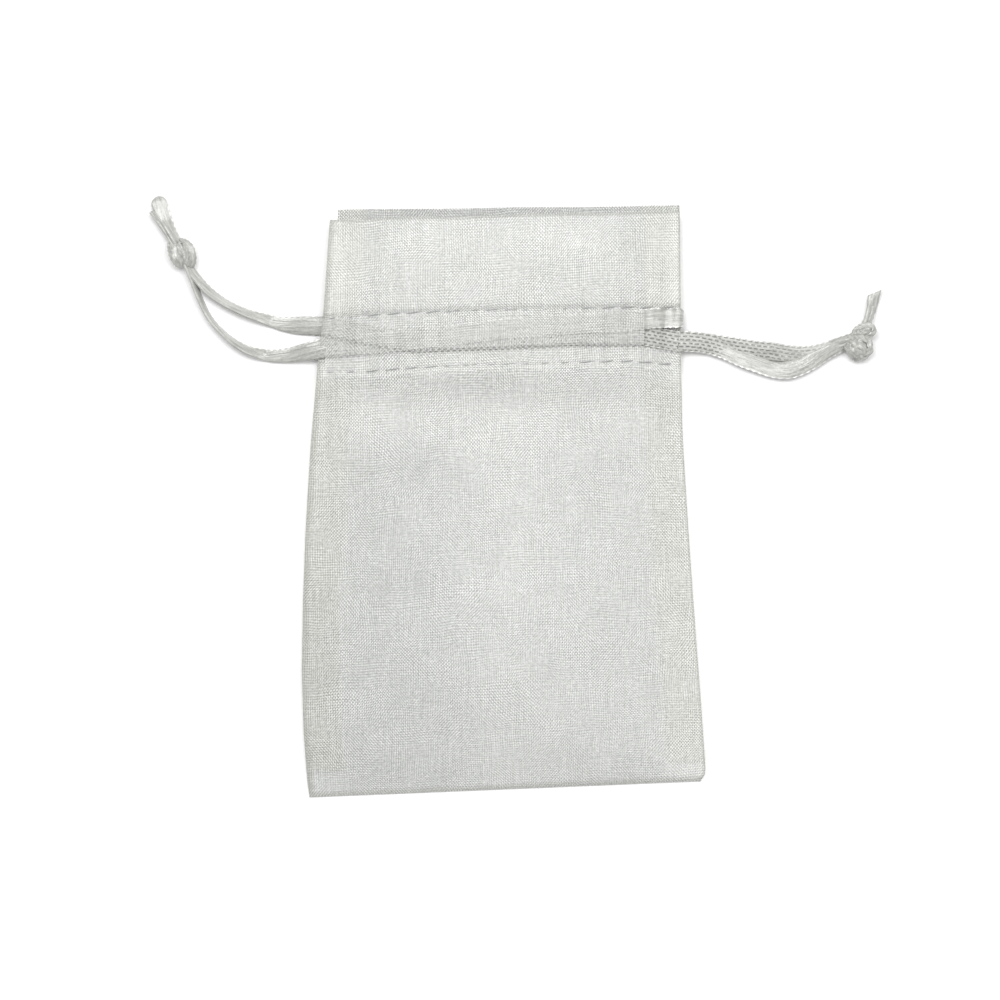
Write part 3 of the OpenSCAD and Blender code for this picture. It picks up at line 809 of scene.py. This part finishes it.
# ---- ribbon inside the casing
def ribbon_loop(name, nodes, front_line, back_line, front_height, back_height, turn_side, reverse):
    """A drawstring's run along the front, its turn round the far side and its run along the back."""
    x = np.arange(LEFT_MOUTH, RIGHT_MOUTH + 0.01, 0.33)[::turn_side]
    y = table(front_line, x)
    z = front_height + loft(x, y) + ripple(x, y) + waves(x, y)
    if turn_side > 0:  # this turn lies bare, and bulges where it leaves the casing
        z = z + 0.6 * np.exp(-((x - 28) / 1.5) ** 2)
    front = list(zip(x, y, z))
    x, y = x[::-1], table(back_line, x[::-1])
    back = list(zip(x, y, back_height + 0.35 * np.abs(ripple(x, y))))
    start, end = front[-1], back[0]
    radius = (start[2] - end[2]) / 2
    bend = []
    for angle in np.linspace(0, math.pi, 11)[1:-1]:
        share = angle / math.pi
        bend.append((start[0] + turn_side * 0.7 * radius * math.sin(angle),
                     (1 - share) * start[1] + share * end[1],
                     end[2] + radius * (1 + math.cos(angle))))
    path = np.array(front + bend + back, float)
    at = distances(path)
    heading = unit(np.gradient(path, axis=0))
    past_front = np.arange(len(path)) - len(front)
    lean = max(turn_side, 0) * np.exp(-((past_front + 6) / 6.0) ** 2)
    level = np.column_stack([0 * lean, 0 * lean + turn_side, -0.25 * turn_side * lean])
    level = unit(level - (level * heading).sum(1, keepdims=True) * heading)
    normal = np.cross(heading, level)
    sections = [flat_section(0.26 * math.exp(-((k - 4) / 3.0) ** 2)) for k in past_front]
    points, faces, uv = ribbon_mesh(path, at, sections, level, normal)
    back_side = two_sides(reverse, at)
    gather(mesh_piece(name, nodes, ribbon_satin, points, faces, uv, {"back_side": back_side}, 60))


ribbon_loop("ribbon_loop_left", ("left_ribbon_front_run", "left_ribbon_turn", "left_ribbon_back_run"),
            LEFT_FRONT_LINE, LEFT_BACK_LINE, LEFT_FRONT[0][2], LEFT_BACK[0][2], 1, [(0, 0.8), (20, 0)])
ribbon_loop("ribbon_loop_right", ("right_ribbon_front_run", "right_ribbon_turn", "right_ribbon_back_run"),
            RIGHT_FRONT_LINE, RIGHT_BACK_LINE, RIGHT_FRONT[0][2], RIGHT_BACK[0][2], -1, [(0, 1), (20, 1)])

# ---- the cloth: one length, folded at the bottom
# Shares of the width where the columns stand. The openings that the ribbons leave by take the first cell on
# the left and the last ones on the right.
LEFT_OPENING, RIGHT_OPENING = 1.1 / 57.6, 5.9 / 57.2
RIGHT_CELLS = 12
shares = np.concatenate([[0], np.linspace(LEFT_OPENING, 1 - RIGHT_OPENING, 104),
                         np.linspace(1 - RIGHT_OPENING, 1, RIGHT_CELLS + 1)[1:]])
rows = []


def add_row(line, height, y_shift=0.0, z_shift=0.0):
    """One row of points across the cloth, on a line (y from x) and at a height (z from x and y)."""
    x = -30 + 60 * shares
    for _ in range(4):
        y = line(x)
        x = left_x(y) + shares * (right_x(y) - left_x(y))
    y = line(x)
    if height in (back_z, back_facing_z):  # the back flap's left side leans in towards its top
        x = x + 1.2 * smooth((y - 31) / 15) * (1 - shares)
    rows.append(np.column_stack([x, y + y_shift, height(x, y) + z_shift]))


def rows_between(start, end, height, fractions):
    for f in fractions:
        add_row(lambda x: (1 - f) * start(x) + f * end(x), height)


def fold_rows(line, height, radius, middle, first=-80, last=80, way=1):
    """Rows round a fold that bulges past a line: towards the mouth, or with way -1 away from it."""
    for angle in np.linspace(first, last, 7):
        a = math.radians(angle)
        add_row(line, height, way * radius * math.cos(a), middle + radius * math.sin(a))


def spaced(count):
    return np.linspace(0, 1, count, endpoint=False)


def near_rows(count):
    """Fractions that crowd towards both ends, where the stitches pinch the cloth."""
    c = np.cos(math.pi * spaced(count))
    return 0.5 - 0.5 * c * (0.55 + 0.45 * np.abs(c))


def hem_line(x):
    return lower_line(x) - HEM_BELOW_ROW


def bottom_z(x, y):
    """Middle of the fold at the bottom."""
    return 0.18 + 0 * x


# The rows go from the front facing's hem over the top, down the front, round the bottom and up the back to
# its facing's hem.
casing_steps = spaced(36)
body_steps = np.concatenate([[0, 0.005, 0.011, 0.02, 0.032], np.linspace(0.045, 0.985, 74)])
header_steps = [0, 0.01, 0.025, 0.045, 0.08, 0.14, 0.22, 0.32, 0.42, 0.52, 0.62, 0.72, 0.82]
rows_between(hem_line, lower_line, front_facing_z, spaced(4))
rows_between(lower_line, upper_line, front_facing_z, near_rows(14))
rows_between(upper_line, front_top_line, front_facing_z, header_steps + [0.91, 0.97])
fold_rows(front_top_line, front_z, TOP_FOLD_RADIUS, -FRONT_FOLD_DROP)
front_start = len(rows)
rows_between(front_top_line, upper_line, front_z,
             [0, 0.03, 0.08, 0.15, 0.22, 0.3, 0.38, 0.46, 0.54, 0.62, 0.7, 0.77, 0.84, 0.89, 0.93, 0.955,
              0.975, 0.99])
casing_start = len(rows)
rows_between(upper_line, lower_line, front_z, casing_steps)
casing_end = len(rows)
rows_between(lower_line, bottom_line, front_z, body_steps)
front_end = len(rows)
fold_rows(bottom_line, bottom_z, BOTTOM_FOLD_RADIUS, 0, 75, -75, -1)
rows_between(bottom_line, lower_line, back_z, 1 - body_steps[::-2])
rows_between(lower_line, upper_line, back_z, near_rows(18))
rows_between(upper_line, back_top_line, back_z, header_steps + [0.9, 0.96, 1])
fold_rows(back_top_line, back_z, TOP_FOLD_RADIUS, 0.08)
rows_between(back_top_line, upper_line, back_facing_z,
             [0, 0.04, 0.1, 0.2, 0.3, 0.4, 0.5, 0.6, 0.7, 0.8, 0.88, 0.93, 0.96, 0.98])
rows_between(upper_line, lower_line, back_facing_z, near_rows(14))
rows_between(lower_line, hem_line, back_facing_z, spaced(4))
grid = np.array(rows)

# The front casing is open at its sides between these heights, where the ribbons leave it.
LEFT_OPENS, RIGHT_OPENS = (23.0, 26.3), (24.3, 30.3)
keep = np.ones((len(rows) - 1, len(shares) - 1), bool)
for j, f in enumerate(casing_steps, casing_start):
    row_y = 30.5 - 8.8 * f
    if RIGHT_OPENS[0] < row_y < RIGHT_OPENS[1]:
        keep[j, -RIGHT_CELLS:] = False
    if LEFT_OPENS[0] < row_y < LEFT_OPENS[1]:
        keep[j, 0] = False

points, faces, source = shell(grid, CLOTH, keep)


def on_cloth(values):
    """A value for each point of the sheet, from one for each point of the grid."""
    return values.reshape(-1)[source]


x, y = grid[:, :, 0], grid[:, :, 1]
row = np.arange(len(rows))[:, None]
inset = np.minimum(x - left_x(y), right_x(y) - x)
on_casing = ((row >= casing_start) & (row <= casing_end)) * smooth(inset / 0.6)
on_front = (row >= front_start) & (row < front_end)

in_header = 0.55 * smooth((6.0 - inset) / 0.5) * (y > upper_line(x))  # the turned-in edges show through
plies = np.maximum(in_header, 0.8 * smooth((0.5 - inset) / 0.4)) - 1.2 * on_casing * over_ribbon(x, y)
# Painted shade: thin darker lines along the side edges, the front's top fold and the bottom fold.
below_top = np.maximum(front_top_line(x) - y, 0) + 9 * (row > casing_end)
fold_shade = np.maximum(0.75 * smooth((0.3 - inset) / 0.3), 0.55 * smooth((0.3 - below_top) / 0.3))
fold_shade = np.maximum(fold_shade, 0.7 * smooth((bottom_line(x) + 0.15 - y) / 0.25))
# Painted shade on the front's body and along its top, and on the back's strip above the front.
back_strip = 0.32 * smooth((y - front_top_line(x) + 0.6) / 0.5)  # the part of the back above the front
painted_shade = on_front * body_shade(x, y) + (row >= front_end) * back_strip

walk = distances(grid[:, len(shares) // 2])
uv = np.stack([x, np.repeat(walk[:, None], len(shares), 1)], axis=2).reshape(-1, 2)[source]
cloth = mesh_piece("cloth", ["back_panel", "front_panel", "bottom_fold", "back_casing", "front_casing",
                             "back_casing_facing", "front_casing_facing", "back_header", "front_header"],
                   organza_cloth, points, faces, uv,
                   {"plies": on_cloth(plies), "fold_shade": on_cloth(fold_shade),
                    "pressed": on_cloth(on_casing * over_selvedge(x, y)), "painted_shade": on_cloth(painted_shade)}, 50)
gather(cloth)


def turned_in_edge(name, node, side, start):
    """The two seam allowances of one side, turned in: a lower and an upper ply that meet along the seam."""
    steps = np.linspace(BOTTOM + start, 19.4, 110)
    meet, gap, middle = 0.28, 0.09, 0.33
    ply_grid = []
    for y in steps:
        fray = 0.10 * math.sin(1.9 * y) + 0.07 * math.sin(5.3 * y + 1)
        lower, upper = ([(r, middle + way * gap + 0.03 * math.sin(0.9 * r + 0.4 * y)) for r in reach]
                        for way, reach in ((-1, np.linspace(ALLOWANCE_WIDTH + fray, meet, 15)),
                                           (1, np.linspace(meet, ALLOWANCE_WIDTH - 0.2 - fray, 15))))
        turn = [(meet - gap * math.cos(a), middle + gap * math.sin(a))
                for a in np.radians(np.linspace(-60, 60, 5))]
        edge = left_x(y) if side < 0 else right_x(y)
        ply_grid.append([(edge - side * r, y, z) for r, z in lower + turn + upper])
    ply_grid = np.array(ply_grid)
    points, faces, source = shell(ply_grid, ALLOWANCE_CLOTH)
    uv = np.stack(np.meshgrid(distances(ply_grid[0]), steps), axis=2).reshape(-1, 2)[source]
    plies = np.ones(len(points))
    strip = mesh_piece(name, [node], organza_allowance, points, faces, uv, {"plies": plies}, 50)
    gather(strip)
    return strip


allowances = [turned_in_edge("left_turned_in_edge", "left_seam_allowance", -1, 3.0),
              turned_in_edge("right_turned_in_edge", "right_seam_allowance", 1, 4.3)]


# ---- stitches
def stitch(a, b, up):
    """One stitch from a to b, its ends diving into the cloth. up is 1 above a ply and -1 below it."""
    count, ring = 11, 8
    lift, dive = 0.09, 0.1
    a, b = np.array(a, float), np.array(b, float)
    heading = unit(b - a)
    side = unit(np.cross([0, 0, 1], heading))
    raised = np.cross(heading, side)
    points, uv = [], []
    for t in np.linspace(0, 1, count):
        arch = 1 - abs(2 * t - 1) ** 3
        middle = a + t * (b - a) + up * raised * (lift * arch - dive * (1 - arch))
        size = THREAD_RADIUS * (0.45 + 0.55 * arch ** 0.5)
        for m in range(ring):
            angle = 2 * math.pi * m / ring
            lobe = 1 + 0.13 * math.cos(2 * angle + 9 * t)
            points.append(middle + size * lobe * (math.cos(angle) * side + math.sin(angle) * raised))
            uv.append((t * STITCH_LENGTH, m / ring))
    return closed_rings(np.array(points).reshape(count, ring, 3), np.array(uv))


def stitches(name, node, runs, material):
    """All the stitches of one seam as one piece."""
    points, faces, uv = joined([stitch(*run) for run in runs])
    gather(mesh_piece(name, [node], material, points, faces, uv, sharp=70))


def row_runs(line, outer, inner, shift):
    """Where the stitches of one row lie: over the outer ply, and under the inner one."""
    slant = 0.13
    runs = []
    for i in range(18):
        x0 = -28.3 + shift + i * STITCH_PITCH
        x1 = x0 + STITCH_LENGTH
        if x1 > RIGHT_MOUTH - 0.1:
            continue
        for height, up in ((outer, 1), (inner, -1)):
            ends = ((x0, line(x0) - slant), (x1, line(x1) + slant))
            a, b = ((x, y, height(x, y) + up * 0.05) for x, y in ends)
            runs.append((a, b, up))
    return runs


def seam_runs(side):
    """Where the stitches of one side seam lie."""
    runs = []
    for i in range(19):
        y0 = BOTTOM + 4.6 + i * STITCH_PITCH
        y1 = y0 + SEAM_STITCH_LENGTH
        x0, x1 = ((left_x(y) if side < 0 else right_x(y)) - side * SEAM_INSET for y in (y0, y1))
        runs.append(((x0, y0, 0.5), (x1, y1, 0.5), 1))
    return runs


for name, node, line, outer, inner, shift in (
        ("stitches_front_upper", "front_upper_stitches", upper_line, front_z, front_facing_z, 0.3),
        ("stitches_front_lower", "front_lower_stitches", lower_line, front_z, front_facing_z, 0.0),
        ("stitches_back_upper", "back_upper_stitches", upper_line, back_facing_z, back_z, 0.8),
        ("stitches_back_lower", "back_lower_stitches", lower_line, back_facing_z, back_z, 1.2)):
    stitches(name, node, row_runs(line, outer, inner, shift), row_thread)
stitches("stitches_left_seam", "left_seam_stitches", seam_runs(-1), seam_thread)
stitches("stitches_right_seam", "right_seam_stitches", seam_runs(1), seam_thread)

# ---- table, light
floor_nodes = Nodes("table_top")
floor_place = floor_nodes.add("TexCoord").outputs["Object"]
floor_grain = floor_nodes.noise(floor_place, 30, 4)
floor_colour = floor_nodes.mix(floor_grain, (0.92, 0.92, 0.92), (0.95, 0.95, 0.95))
floor = floor_nodes.finish(floor_nodes.add("BsdfPrincipled", {
    "Base Color": floor_colour, "Roughness": 0.9, "Specular IOR Level": 0.1}))
table_mesh = bpy.data.meshes.new("table_top")
table_mesh.from_pydata([(-2, -2, 0), (2, -2, 0), (2, 2, 0), (-2, 2, 0)], [], [(0, 1, 2, 3)])
table_mesh.materials.append(floor)
table_top = bpy.data.objects.new("table_top", table_mesh)
bpy.context.scene.collection.objects.link(table_top)

world = bpy.data.worlds.new("studio")
world.use_nodes = True
background = world.node_tree.nodes["Background"]
background.inputs["Color"].default_value = (1.0, 1.0, 1.0, 1)
background.inputs["Strength"].default_value = 0.6
bpy.context.scene.world = world


def area_light(name, location, size, power):
    """A square light that points at the middle of the table."""
    x, y, z = location
    light = bpy.data.lights.new(name, "AREA")
    light.size = size
    light.energy = power
    obj = bpy.data.objects.new(name, light)
    obj.location = location
    obj.rotation_euler = (math.atan2(math.hypot(x, y), z), 0, math.atan2(-x, y) + math.pi)
    bpy.context.scene.collection.objects.link(obj)


area_light("key_light", (-0.17, 0.28, 0.58), 0.34, 2.1)
area_light("right_light", (0.19, 0.27, 0.58), 0.34, 1.4)
area_light("fill_light", (0.5, -0.1, 0.6), 0.6, 0.6)
bpy.context.scene.view_settings.view_transform = "Standard"

bpy.context.view_layer.update()
